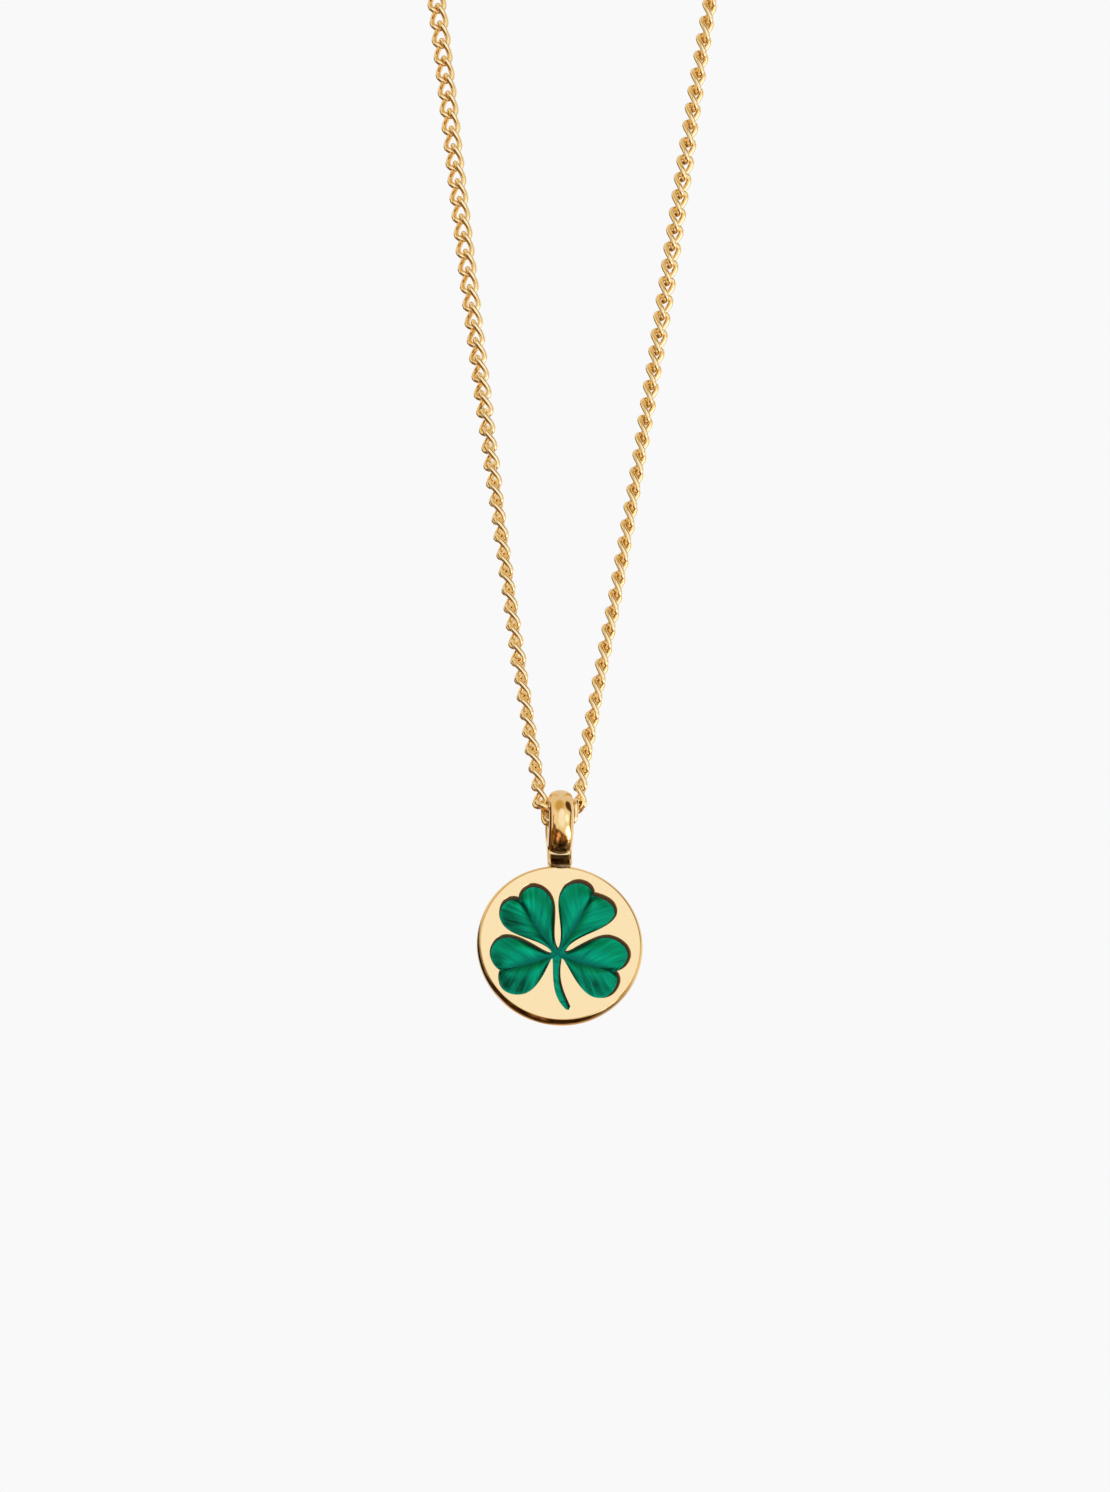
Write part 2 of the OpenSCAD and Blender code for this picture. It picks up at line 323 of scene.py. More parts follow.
# The chain's middle line, from the right end down to the bail and up to the left end: round the neck as
# (x, y, z), and in front as (x, z). At the nape and in the bail's hole the left side mirrors the right one.
NAPE = [
    (6.2, -0.4, 0), (12.8, -2.7, -0.2), (20, -7.8, -0.8), (26.2, -15.5, -2), (30.5, -25, -4),
    (32.9, -35.5, -7.2), (33.5, -46, -12),
]
RIGHT_COLLAR = [(32.6, -56, -19), (30.3, -64.5, -28.5), (27.2, -70, -41)]
RIGHT_LEG = [
    (24, -54), (20.7, -68), (17.7, -82), (14.8, -98), (12.3, -113), (10.3, -127), (8.3, -141),
    (6.1, -155), (4.7, -163.5), (3.6, -169.5), (2.9, -173.5), (2.4, -176.3), (2.05, -178.5),
    (1.8, -180.2), (1.68, -181.4),
]
HOLE_TURN = [
    (1.65, -182.1), (1.59, -182.49), (1.43, -182.85), (1.17, -183.16), (0.83, -183.4), (0.43, -183.55),
]
HOLE_FOOT = (0, -183.6)
LEFT_LEG = [
    (-1.7, -181.4), (-1.86, -180.2), (-2.15, -178.5), (-2.5, -176.3), (-2.9, -173.5), (-3.5, -169.5),
    (-4.3, -163.5), (-5.4, -155), (-7.1, -141), (-8.7, -127), (-10.2, -113), (-12, -98), (-14.6, -82),
    (-17.7, -68), (-21.4, -54),
]
LEFT_COLLAR = [(-25.5, -70, -41), (-29.5, -64.5, -28.5), (-32.4, -56, -19)]
ROUTE_STEPS = 40
PITCH = 1.6
WIRE = 0.47
LINK_WIDTH = 1.62
LINK_THICK = 1.2
LINK_SLACK = 0.01
LINK_STEPS = 24
WIRE_STEPS = 12
# How far the pitch may change so that whole links fill a leg, and how often that range is halved
PITCH_RANGE = (0.97 * PITCH, 1.03 * PITCH)
HALVINGS = 30
# How far the middle link's joints lie over the bail's middle, and the next ones' further in and down
BAIL_JOINT = 0.45
BEND_SLACK = (0.1, 0.05)
# The middle link and the next ones are a little larger, with more room along their length
BEND_REACH = 1
BEND_WIDTH, BEND_THICK, BEND_ROOM = 1.8, 1.3, 0.04
# How far the two links on each side of the middle one are rolled, in degrees
BEND_ROLLS = (15, 10)
# The links in the clasp's eyes: their inner joint, and their pitch, width and thickness
EYE_JOINT = 5.16
END_PITCH, END_WIDTH, END_THICK = 1.66, 2.0, 1.26
# The middle of the wearer's neck, and the heights between which the links turn to face away from it
NECK_MIDDLE_Y = -36.0
ROUND_NECK = (-115, -60)
# Each link's chance roll in degrees, and the heights over the bail between which it sets in
ROLL_JITTER = 2.5
JITTER_FROM = (2, 8)
# How far each leg is turned from edge on to flat to the viewer: (height over the bail's middle, degrees)
LEFT_TURN = [(0, 0), (20, 2), (30, 6), (36, 18), (42, 34), (50, 47), (74, 56), (110, 75), (140, 90)]
RIGHT_TURN = [
    (0, 0), (20, 8), (32, 10), (40, 22), (46, 33), (58, 35), (66, 22), (74, 10), (110, 55), (150, 90),
]


def between(a, b, start, end, t):
    """The place at t on the straight way from a, at start, to b, at end."""
    return (end - t) / (end - start) * a + (t - start) / (end - start) * b


def spline(points, steps):
    """Points along a smooth curve through the given ones."""
    p = np.array(points, float)
    p = np.vstack([2 * p[0] - p[1], p, 2 * p[-1] - p[-2]])
    line = []
    for a, b, c, d in zip(p[:-3], p[1:-2], p[2:-1], p[3:]):
        t1 = math.sqrt(np.linalg.norm(b - a))
        t2 = t1 + math.sqrt(np.linalg.norm(c - b))
        t3 = t2 + math.sqrt(np.linalg.norm(d - c))
        for i in range(steps):
            t = t1 + (t2 - t1) * i / steps
            bc = between(b, c, t1, t2, t)
            abc = between(between(a, b, 0, t1, t), bc, 0, t2, t)
            bcd = between(bc, between(c, d, t2, t3, t), t1, t3, t)
            line.append(between(abc, bcd, t1, t2, t))
    line.append(p[-2])
    return np.array(line)


def strides(line, start, pitch):
    """Joints a pitch apart along a line, from a start point on."""
    joints = [start]
    for a, b in zip(line[:-1], line[1:]):
        while np.linalg.norm(b - joints[-1]) >= pitch:
            # the place on this stretch that lies a pitch from the last joint
            away = a - joints[-1]
            step = b - a
            half = away @ step
            whole = half * half - step @ step * (away @ away - pitch * pitch)
            joints.append(a + step * (math.sqrt(max(whole, 0.0)) - half) / (step @ step))
    return joints


def fitted_strides(line, start):
    """Strides whose pitch is changed a little, so that the last joint falls on the line's end."""
    joints = strides(line, start, PITCH)
    left = np.linalg.norm(line[-1] - joints[-1])
    count = len(joints) + (left > PITCH / 2)
    low, high = PITCH_RANGE
    for _ in range(HALVINGS):
        middle = (low + high) / 2
        if len(strides(line, start, middle)) >= count:
            low = middle
        else:
            high = middle
    return strides(line, start, low)[:count]


def link_template(pitch, width, thick, room=0.0):
    """One curb link: an oval of round wire, twisted so that it lies flat beside its neighbours."""
    half_length = (pitch + WIRE) / 2 + LINK_SLACK + room
    half_width = (width - WIRE) / 2
    lift = (thick - WIRE) / 2
    angles = around_circle(LINK_STEPS)
    across, ahead = np.sin(angles), np.cos(angles)
    centre = np.stack([half_width * across, half_length * ahead, lift * np.sin(2 * angles)], 1)
    along = np.roll(centre, -1, 0) - np.roll(centre, 1, 0)
    along /= np.linalg.norm(along, axis=1)[:, None]
    out = np.stack([across / half_width, ahead / half_length, 0 * angles], 1)
    out -= (out * along).sum(1)[:, None] * along
    out /= np.linalg.norm(out, axis=1)[:, None]
    side = np.cross(along, out)
    turn = around_circle(WIRE_STEPS)
    ring = out[:, None] * np.cos(turn)[:, None] + side[:, None] * np.sin(turn)[:, None]
    return (centre[:, None] + WIRE / 2 * ring).reshape(-1, 3)


def outward(place):
    """The way out from the wearer: ahead at the front, and away from the neck above."""
    round_neck = unit(np.array([place[0], place[1] - NECK_MIDDLE_Y, 0.0]))
    share = smoothstep(*ROUND_NECK, place[2])
    return unit(np.array([0.0, -1.0, 0.0]) * (1 - share) + round_neck * share)


def turn_at(place):
    """How far the chain is turned at a place, in degrees."""
    table = LEFT_TURN if place[0] < 0 else RIGHT_TURN
    return np.interp(place[2] - BAIL_Z, *zip(*table))


def mirrored(points):
    """Points of the right side as those of the left, in the other order."""
    return [(-x, *rest) for x, *rest in points[::-1]]


def link_ends():
    """Both ends of every link, from the right eye down through the bail and up to the left eye."""
    front = RIGHT_LEG + HOLE_TURN + [HOLE_FOOT] + mirrored(HOLE_TURN) + LEFT_LEG
    front = RIGHT_COLLAR + [(x, FRONT_Y, z) for x, z in front] + LEFT_COLLAR
    line = spline(NAPE + front + mirrored(NAPE), ROUTE_STEPS)
    middle = len(line) // 2
    legs = []
    for side, half in ((1, line[middle::-1]), (-1, line[middle:])):
        eye = np.array([side * EYE_JOINT, 0.0, 0.0])
        count = next(i for i, p in enumerate(half) if np.linalg.norm(p - eye) < END_PITCH)
        kept = np.vstack([half[:count], eye + END_PITCH * unit(half[count - 1] - eye)])
        first = np.array([side * (PITCH / 2 - BEND_SLACK[0]), FRONT_Y, BAIL_Z + BAIL_JOINT - BEND_SLACK[1]])
        joints = fitted_strides(kept, first) + [eye]
        legs.append(list(zip(joints[:-1], joints[1:])))
    right = [(b, a) for a, b in legs[0][::-1]]
    middle_ends = [np.array([side * PITCH / 2, FRONT_Y, BAIL_Z + BAIL_JOINT]) for side in (1, -1)]
    return right + [tuple(middle_ends)] + legs[1]


def curb_chain(material):
    """All links as one piece, each laid along its stretch of the chain and turned as the photo shows."""
    plain = link_template(PITCH, LINK_WIDTH, LINK_THICK)
    end = link_template(END_PITCH, END_WIDTH, END_THICK)
    bend = link_template(PITCH, BEND_WIDTH, BEND_THICK, BEND_ROOM)
    ends = link_ends()
    middle = next(i for i, (a, b) in enumerate(ends) if a[0] > 0 > b[0])
    chance = random.Random(SEED)
    points = []
    for i, (a, b) in enumerate(ends):
        place = (a + b) / 2
        along = unit(b - a)
        ahead = outward(place)
        ahead = unit(ahead - (ahead @ along) * along)
        jitter = smoothstep(*JITTER_FROM, place[2] - BAIL_Z) * chance.gauss(0, ROLL_JITTER)
        turn = turn_at(place) + jitter
        off = abs(i - middle)
        if 0 < off <= len(BEND_ROLLS):
            turn = math.copysign(BEND_ROLLS[off - 1], i - middle)
        turn = math.radians(turn)
        normal = math.cos(turn) * np.cross(ahead, along) + math.sin(turn) * ahead
        template = bend if off <= BEND_REACH else plain
        if i in (0, len(ends) - 1):
            template = end
        points.append(place + template @ np.stack([np.cross(along, normal), along, normal]))
    quads = np.array(grid_faces(LINK_STEPS, WIRE_STEPS, True, True))
    faces = np.concatenate([quads + k * len(plain) for k in range(len(points))])
    mesh = plain_mesh("curb_chain", np.concatenate(points), faces.tolist())
    # how far each point lies on a wire's inner side, where shade is painted on the links
    inner = (1 - np.cos(around_circle(WIRE_STEPS))) / 2
    point_values(mesh, "inner", np.tile(inner, LINK_STEPS * len(points)))
    return make_piece(mesh, "necklace", material, sharp_angle=60)


# Clover, drawn on the disc's face: x to the right, y up, from the disc's middle

HUB = np.array([-0.25, -0.95])
# Where one leaf's edge turns into the next one's, anticlockwise from between stem and lower right leaf
CROTCHES = np.array([(0.05, -1.3), (0.35, -0.7), (-0.2, -0.55), (-0.7, -0.85), (-0.65, -1.35)])
# One row per leaf, anticlockwise from the lower right: the way it points in degrees, the distance from the
# hub to its notch, and its two lobes, first the one turned clockwise. Each lobe: (where it is widest,
# half-width there, where it reaches furthest, offset of that point from the midrib, how full its flank is).
LEAVES = [
    (-15.5, 5.0, ((4.0, 2.75, 5.5, 0.95, 0.9), (4.0, 2.78, 5.75, 1.5, 0.8))),
    (60.4, 6.2, ((5.45, 2.4, 6.37, 1.2, 0), (5.1, 2.43, 6.67, 1.0, 0))),
    (123.5, 5.75, ((4.75, 2.33, 6.25, 1.15, 0.2), (4.6, 2.42, 6.2, 1.0, 0.2))),
    (-161.8, 5.05, ((3.95, 2.75, 5.43, 1.25, 0.7), (3.85, 2.5, 5.43, 1.2, 1))),
]
# Half the width of a leaf's foot, where the guides of a flank lie on the way to the widest place, how much
# nearer the foot a full flank has them, and where the lip's guides lie from the furthest point to the notch
LEAF_FOOT = 0.2
FLANK_GUIDES = (0.4, 0.7)
FLANK_FULLNESS = (0.2, 0.1)
LIP_GUIDES = (0.45, 0.4, 0.12)
STEM_LEFT = np.array([(-0.65, -1.35), (-0.5, -2.6), (-0.85, -4.5), (0.35, -5.75)])
STEM_TIP = np.array([(0.35, -5.75), (0.5, -5.95), (0.82, -6.0), (0.75, -5.6)])
STEM_RIGHT = np.array([(0.75, -5.6), (0.3, -4.5), (-0.4, -3.3), (0.05, -1.3)])
# Where the guides of a quarter of an oval lie
ARC_K = 0.55
# How far the wall widens the recess at the crotches, the flanks and the notches, as shares of what it does
# at the lobes' ends, and how far it widens the stem
FOOT_SHARE, SIDE_SHARE, NOTCH_SHARE = 0.4, 0.7, 0.8
STEM_WALL = 0.09
CURVE_STEPS = 16
TIP_STEPS = 6
ENAMEL_GAP = 0.02
# The recess's wall from its foot to the face: (how far the outline has widened, depth under the face)
RECESS_WALL = [(0.0, 0.5), (0.205, 0.078), (0.225, 0.043), (0.254, 0.012), (0.29, 0.0)]
# The side on which the wall leans out in full, its share of that on the other side, and the turn between
LEAN_WAY = np.array([0.8, 0.6])
STEEP_SHARE = 0.4
LEAN_RANGE = (-0.6, 0.3)


def curve(guides, steps):
    """The start and the inner points of a cubic curve; its end is the next curve's start."""
    t = (np.arange(steps) / steps)[:, None]
    p = guides
    return (1 - t) ** 3 * p[0] + 3 * t * (1 - t) ** 2 * p[1] + 3 * t * t * (1 - t) * p[2] + t ** 3 * p[3]


def leaf_point(leaf, u, v):
    """A point of a leaf, u along its midrib and v to the left of it."""
    a = math.radians(leaf[0])
    return HUB + np.array([u * math.cos(a) - v * math.sin(a), u * math.sin(a) + v * math.cos(a)])


def crotch(i, wall):
    """The gap between two leaves, moved out from the hub where the wall widens the recess."""
    return CROTCHES[i % 5] + wall * FOOT_SHARE * unit(CROTCHES[i % 5] - HUB)


def notch_point(leaf, wall):
    return leaf_point(leaf, leaf[1] + wall * NOTCH_SHARE, 0)


def leaf_side(leaf, side, foot, wall):
    """One side of a leaf, from its foot almost to its notch; side is -1 clockwise of the midrib, else 1."""
    wide_u, wide_v, reach_u, reach_v, full = leaf[2][0 if side < 0 else 1]
    notch_u = leaf[1] + wall * NOTCH_SHARE
    wide_v += wall * SIDE_SHARE
    reach_u += wall
    low_u = (FLANK_GUIDES[0] - FLANK_FULLNESS[0] * full) * wide_u
    high_u = (FLANK_GUIDES[1] - FLANK_FULLNESS[1] * full) * wide_u
    lip_v, notch_guide_u, notch_guide_v = LIP_GUIDES

    def at(u, v):
        return leaf_point(leaf, u, side * v)

    flank = [foot, at(low_u, LEAF_FOOT + wall * FOOT_SHARE), at(high_u, wide_v), at(wide_u, wide_v)]
    shoulder = [at(wide_u, wide_v), at(wide_u + ARC_K * (reach_u - wide_u), wide_v),
                at(reach_u, reach_v + ARC_K * (wide_v - reach_v)), at(reach_u, reach_v)]
    lip = [at(reach_u, reach_v), at(reach_u, lip_v * reach_v),
           at(notch_u + notch_guide_u * (reach_u - notch_u), notch_guide_v * reach_v), at(notch_u, 0)]
    return np.concatenate([curve(guides, CURVE_STEPS) for guides in (flank, shoulder, lip)])


def stem_sides(wall):
    """The stem's left edge down to its tip, the tip, and the right edge, each without its last point."""
    w = STEM_WALL if wall > 0 else wall
    left = curve(STEM_LEFT - [w, 0], CURVE_STEPS)
    left[0] = crotch(4, wall)
    return left, curve(STEM_TIP - [0, w], TIP_STEPS), curve(STEM_RIGHT + [w, 0], CURVE_STEPS)


def clover_outline(wall):
    """The whole clover's outline, anticlockwise: four leaves and the stem round one hub."""
    parts = []
    for i, leaf in enumerate(LEAVES):
        there = leaf_side(leaf, -1, crotch(i, wall), wall)
        back = leaf_side(leaf, 1, crotch(i + 1, wall), wall)
        parts += [there, [notch_point(leaf, wall)], back[:0:-1]]
    return np.concatenate(parts + list(stem_sides(wall)))


def recess_outline(wall):
    """The clover's outline widened for the recess's wall, which stands steeper at the left and below."""
    foot = clover_outline(0)
    out = clover_outline(wall) - foot
    way = out @ LEAN_WAY / np.maximum(np.linalg.norm(out, axis=1), TINY)
    share = STEEP_SHARE + (1 - STEEP_SHARE) * smoothstep(*LEAN_RANGE, way)
    return foot + out * share[:, None]


def on_face(flat, depth):
    """Points drawn on the face, at depths under it."""
    flat = np.asarray(flat)
    return np.stack([flat[:, 0], FACE_Y + depth + 0 * flat[:, 0], flat[:, 1] + DISC_Z], 1)


def is_inside(outline, point):
    """Whether a point lies inside an outline."""
    x0, y0 = outline[:, 0], outline[:, 1]
    x1, y1 = np.roll(x0, -1), np.roll(y0, -1)
    crossing = (y0 > point[1]) != (y1 > point[1])
    slant = (x1[crossing] - x0[crossing]) / (y1[crossing] - y0[crossing])
    at = x0[crossing] + (point[1] - y0[crossing]) * slant
    return np.count_nonzero(at > point[0]) % 2 == 1


def fill_between(outer, inner):
    """Triangles inside an outer outline and outside an inner one, by point numbers, the outer ones first."""
    flat = np.concatenate([outer, inner])
    edges = [(i, (i + 1) % len(outer)) for i in range(len(outer))]
    edges += [(len(outer) + i, len(outer) + (i + 1) % len(inner)) for i in range(len(inner))]
    whole_hull = 0
    filled = delaunay_2d_cdt([Vector(p) for p in flat], edges, [], whole_hull, CLOSE)
    triangles, origin = filled[2], filled[3]
    kept = []
    for triangle in triangles:
        numbers = [origin[k][0] for k in triangle]
        middle = flat[numbers].mean(0)
        if is_inside(outer, middle) and not is_inside(inner, middle):
            kept.append(tuple(numbers))
    return kept


# Disc, neck and bail

# The disc's edges: how far each reaches inwards and down the side
FACE_EDGE = (0.33, 0.55)
BACK_EDGE = (0.45, 0.45)
EDGE_STEPS = 8
DISC_SIDES = 256
# How dark the edge's painted reflection is: by row from the face round to the back, as (row, share), at the
# most, and where round the disc it sets in and ends, in degrees anticlockwise from the right
EDGE_DARK = [(1, 0.0), (3, 1.0), (7, 1.0), (8, 0.8), (9, 0.1), (10, 0.0)]
EDGE_DARKEST = 0.95
DARK_START, DARK_STOP = (150, 190), (295, 345)
BAIL_R = 2.83
BAIL_HOLE_R = 1.4
BAIL_HALF_W = 1.05
CROWN_R = 1.5
CORNER_R = 0.3
MOUTH_R = 0.5
# The neck: half its width, how far it runs up into the bail, how far it overlaps the disc, its foot's round
# outline, and how far it stands out in front and behind at heights over the disc's top
NECK_HALF_W = 1.03
NECK_TOP = -1.8
NECK_OVERLAP = 0.4
NECK_FOOT_R = 1.6
NECK_FRONT = [(-0.05, 0.82), (0.3, 0.62), (0.6, 0.45), (1.0, 0.35)]
NECK_BACK = [(-0.05, 0.82), (0.45, 0.66), (0.75, 0.66), (1.8, 1.1)]
NECK_EDGE_R = 0.25
CROOK_R = 0.1
# The painted dark reflection on the bail's foot: where it fades upwards, how far off the crown it ends, and
# how far in front of the bail's middle it sets in
FOOT_FADE = (-2.45, -1.95)
FOOT_END = (0.01, 0.09)
FOOT_FRONT = (0, 0.5)
# The width of the unpainted crescent between foot and neck, and where the painted dark of both ends aside
# and behind
CRESCENT = 0.2
CRESCENT_SOFT = 0.05
DARK_SIDES = (0.74, 0.9)
DARK_FRONT = (-0.1, 0.1)
# The rough skin under bail and neck: the ring's sides and bevel, and the size of its voxels
ROUGH_SIDES = 96
ROUGH_BEVEL = 0.3
VOXEL = 0.06
# How often the skin is evened out, how often it is drawn on after each, the step that measures its slope,
# and the least square of the slope that a point follows in full
SKIN_ROUNDS = 12
DRAW_ROUNDS = 3
SLOPE_STEP = 0.004
LEAST_SLOPE = 0.2
FLAT_WITHIN = 1e-4


def arc(centre, radii, start, end, steps):
    t = np.radians(np.linspace(start, end, steps + 1))
    return np.array(centre) + np.array(radii) * np.stack([np.cos(t), np.sin(t)], 1)


def disc_shell():
    """The coin with the clover cut in: points, faces, and how far down the recess's wall each point lies."""
    half = DISC_T / 2
    profile = np.concatenate([
        arc((DISC_R - FACE_EDGE[0], half - FACE_EDGE[1]), FACE_EDGE, 90, 0, EDGE_STEPS),
        arc((DISC_R - BACK_EDGE[0], BACK_EDGE[1] - half), BACK_EDGE, 0, -90, EDGE_STEPS),
    ])
    angles = around_circle(DISC_SIDES)
    circles = [on_face(r * np.stack([np.cos(angles), np.sin(angles)], 1), half - h) for r, h in profile]
    rings = [recess_outline(wall) for wall, _ in RECESS_WALL[::-1]]
    steps = [on_face(ring, depth) for ring, (_, depth) in zip(rings, RECESS_WALL[::-1])]
    count = len(rings[0])
    wall_start = len(profile) * DISC_SIDES
    floor_start = wall_start + (len(rings) - 1) * count
    faces = grid_faces(len(profile), DISC_SIDES, close_columns=True)
    faces.append(tuple(wall_start - DISC_SIDES + i for i in range(DISC_SIDES)))
    wall = grid_faces(len(rings), count, close_columns=True)
    faces += [tuple(wall_start + k for k in quad) for quad in wall]
    rim = circles[0][:, ::2] - [0, DISC_Z]
    for triangle in fill_between(rim, rings[0]):
        faces.append(tuple(k if k < DISC_SIDES else wall_start + k - DISC_SIDES for k in triangle))
    for triangle in fill_between(rings[-1], rings[-1][:0]):
        faces.append(tuple(floor_start + k for k in triangle))
    down_wall = np.repeat(np.arange(len(rings)) / (len(rings) - 1), count)
    return np.concatenate(circles + steps), faces, np.concatenate([np.zeros(wall_start), down_wall])


def edge_painted_dark(count):
    """How dark the reflection painted on the disc's edge is at each point: along the left and below, between
    face and side.
    """
    rows = np.interp(np.arange(2 * EDGE_STEPS + 2), *zip(*EDGE_DARK))
    turn = np.arange(DISC_SIDES) * 360 / DISC_SIDES
    round_edge = smoothstep(*DARK_START, turn) * (1 - smoothstep(*DARK_STOP, turn)) * EDGE_DARKEST
    painted_dark = np.outer(rows, round_edge).ravel()
    return np.concatenate([painted_dark, np.zeros(count - len(painted_dark))])


def meet(a, b, radius):
    """The inside of both of two shapes given by distances, with the edge between them rounded."""
    round_part = np.hypot(np.maximum(a + radius, 0), np.maximum(b + radius, 0))
    return np.minimum(np.maximum(a, b), -radius) + round_part


def join(a, b, radius):
    """The inside of either of two shapes, with a rounded crook between them."""
    round_part = np.hypot(np.maximum(radius - a, 0), np.maximum(radius - b, 0))
    return np.maximum(np.minimum(a, b), radius) - round_part


def crown_distance(x, around):
    """The distance from the ring's crowned surface, from the places across it and round it."""
    return np.hypot(around - (BAIL_R - CROWN_R), x) - CROWN_R


def bail_distance(points):
    """The distance of points from the surface of bail and neck, below 0 inside."""
    x = np.abs(points[:, 0])
    y = points[:, 1] - FRONT_Y
    z = points[:, 2] - BAIL_Z
    around = np.hypot(y, z)
    sides = x - BAIL_HALF_W
    outside = meet(crown_distance(x, around), sides, CORNER_R)
    bail = np.maximum(outside, meet(BAIL_HOLE_R - around, sides, MOUTH_R))
    disc_top = DISC_Z + DISC_R - BAIL_Z
    front = -y - np.interp(z - disc_top, *zip(*NECK_FRONT))
    back = y - np.interp(z - disc_top, *zip(*NECK_BACK))
    deep = np.maximum(front, back)
    foot_middle = disc_top - NECK_OVERLAP + NECK_FOOT_R
    foot = np.hypot(x, np.minimum(z - foot_middle, 0)) - NECK_FOOT_R
    wide = meet(foot, x - NECK_HALF_W, NECK_EDGE_R)
    neck = np.maximum(meet(deep, wide, NECK_EDGE_R), z - NECK_TOP)
    return join(bail, neck, CROOK_R)


def bail_painted_dark(points):
    """How dark the reflection painted on the neck's front and the bail's foot is, with an unpainted crescent
    between.
    """
    x, y, z = (points - [0, FRONT_Y, BAIL_Z]).T
    off_crown = crown_distance(x, np.hypot(y, z))
    foot = (1 - smoothstep(*FOOT_FADE, z)) * (1 - smoothstep(*FOOT_END, off_crown))
    neck = smoothstep(CRESCENT - CRESCENT_SOFT, CRESCENT + CRESCENT_SOFT, off_crown)
    dark = np.maximum(foot * smoothstep(*FOOT_FRONT, -y), neck)
    return dark * ((1 - smoothstep(*DARK_SIDES, np.abs(x))) * smoothstep(*DARK_FRONT, -y))


def rough_skin():
    """An even skin of small voxels over a plain ring and a plain block."""
    build = bmesh.new()
    bevel_r = BAIL_R - ROUGH_BEVEL
    section = [(BAIL_HOLE_R, -BAIL_HALF_W), (bevel_r, -BAIL_HALF_W), (BAIL_R, 0),
               (bevel_r, BAIL_HALF_W), (BAIL_HOLE_R, BAIL_HALF_W)]
    verts = []
    for a in around_circle(ROUGH_SIDES):
        way = (math.cos(a), math.sin(a))
        verts += [build.verts.new((x, FRONT_Y + r * way[0], BAIL_Z + r * way[1])) for r, x in section]
    for quad in grid_faces(ROUGH_SIDES, len(section), True, True):
        build.faces.new([verts[k] for k in quad])
    disc_top = DISC_Z + DISC_R
    heights = [-NECK_OVERLAP, *(height for height, _ in NECK_FRONT), BAIL_Z + NECK_TOP - disc_top]
    block = []
    for height in heights:
        front = FRONT_Y - np.interp(height, *zip(*NECK_FRONT))
        back = FRONT_Y + np.interp(height, *zip(*NECK_BACK))
        corners = [(NECK_HALF_W, front), (NECK_HALF_W, back), (-NECK_HALF_W, back), (-NECK_HALF_W, front)]
        block += [build.verts.new((x, y, disc_top + height)) for x, y in corners]
    for quad in grid_faces(len(heights), 4, close_columns=True):
        build.faces.new([block[k] for k in quad])
    build.faces.new(block[:4])
    build.faces.new(block[-4:])
    bmesh.ops.recalc_face_normals(build, faces=build.faces)
    mesh = built_mesh("bail_rough", build)
    holder = linked_object(mesh)
    voxels = holder.modifiers.new("voxels", "REMESH")
    voxels.mode = "VOXEL"
    voxels.voxel_size = VOXEL
    skin = bpy.data.meshes.new_from_object(holder.evaluated_get(bpy.context.evaluated_depsgraph_get()))
    points = np.array([v.co for v in skin.vertices])
    faces = [tuple(f.vertices) for f in skin.polygons]
    edges = np.array([e.vertices for e in skin.edges])
    bpy.data.objects.remove(holder)
    bpy.data.meshes.remove(skin)
    bpy.data.meshes.remove(mesh)
    return points, faces, edges


def bail_shell():
    """Bail and neck as one smooth skin, drawn from the rough one onto the exact surface."""
    points, faces, edges = rough_skin()
    count = np.bincount(edges.ravel(), minlength=len(points))[:, None]
    probes = SLOPE_STEP * np.eye(3)
    for turn in range(SKIN_ROUNDS + 1):
        if turn < SKIN_ROUNDS:
            near = np.zeros_like(points)
            np.add.at(near, edges[:, 0], points[edges[:, 1]])
            np.add.at(near, edges[:, 1], points[edges[:, 0]])
            points = (points + near / count) / 2
        for _ in range(DRAW_ROUNDS):
            ways = [bail_distance(points + probe) - bail_distance(points - probe) for probe in probes]
            slope = np.stack(ways, 1) / (2 * SLOPE_STEP)
            slope /= np.maximum((slope ** 2).sum(1), LEAST_SLOPE)[:, None]
            points = points - bail_distance(points)[:, None] * slope
    return points, faces


def flatten_normals(mesh, count):
    """Lets the disc, whose points come first, meet its flat face and back without a crease."""
    corners = np.empty(len(mesh.loops), int)
    mesh.loops.foreach_get("vertex_index", corners)
    on_disc = corners < count
    deep = np.array([vert.co.y for vert in mesh.vertices])[corners] / MM - FRONT_Y
    normals = np.zeros((len(corners), 3))
    normals[on_disc & (deep < FLAT_WITHIN - DISC_T / 2)] = (0, -1, 0)
    normals[on_disc & (deep > DISC_T / 2 - FLAT_WITHIN)] = (0, 1, 0)
    # where the normal stays 0, the mesh keeps its own
    mesh.normals_split_custom_set([tuple(normal) for normal in normals])


def medallion_piece(material):
    """Disc, neck and bail as one piece."""
    disc_points, disc_faces, down_wall = disc_shell()
    bail_points, bail_faces = bail_shell()
    faces = disc_faces + [tuple(k + len(disc_points) for k in face) for face in bail_faces]
    mesh = plain_mesh("gold_medallion", np.concatenate([disc_points, bail_points]), faces)
    # how far down each point lies on the recess's wall, where shade is painted
    point_values(mesh, "wall_shade", np.concatenate([down_wall, np.zeros(len(bail_points))]))
    # how dark the reflection painted on the edge, neck and foot is at each point
    point_values(mesh, "painted_dark", np.concatenate([edge_painted_dark(len(disc_points)), bail_painted_dark(bail_points)]))
    build = bmesh.new()
    build.from_mesh(mesh)
    bmesh.ops.recalc_face_normals(build, faces=build.faces)
    build.to_mesh(mesh)
    build.free()
    piece = make_piece(mesh, "pendant", material, sharp_angle=35)
    flatten_normals(mesh, len(disc_points))
    return piece


# Enamel

VEIN_STEPS = 14
WELD = 0.002
